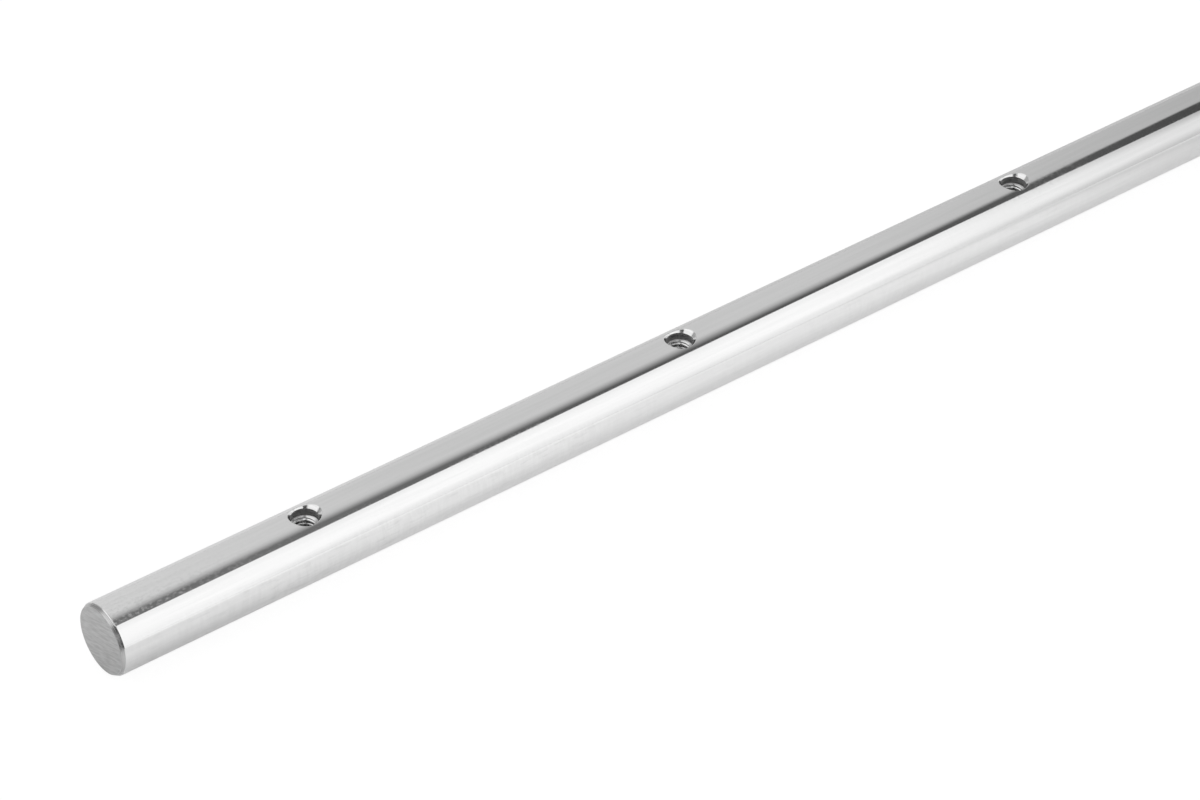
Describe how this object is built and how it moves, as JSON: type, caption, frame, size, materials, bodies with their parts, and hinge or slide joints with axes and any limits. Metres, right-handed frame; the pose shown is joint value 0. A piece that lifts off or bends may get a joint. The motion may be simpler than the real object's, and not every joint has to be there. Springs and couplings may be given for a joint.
{
  "type": "tapped linear shaft",
  "caption": "Round ground steel linear shaft with a straight row of countersunk, radially tapped blind holes and chamfered ends, for supported linear bearings.",
  "frame": {"origin": "on the shaft's axis at half its length", "axes": "+X along the shaft, +Z out of the mouths of the tapped holes, so it lies with its holes up"},
  "size_m": [0.3, 0.012, 0.012],
  "materials": {
    "ground_steel": "hardened and ground bearing steel, fine ground lines, faced ends, drilled and tapped holes"
  },
  "bodies": {
    "root": {"tapped_shaft": "ground_steel"}
  },
  "joints": []
}
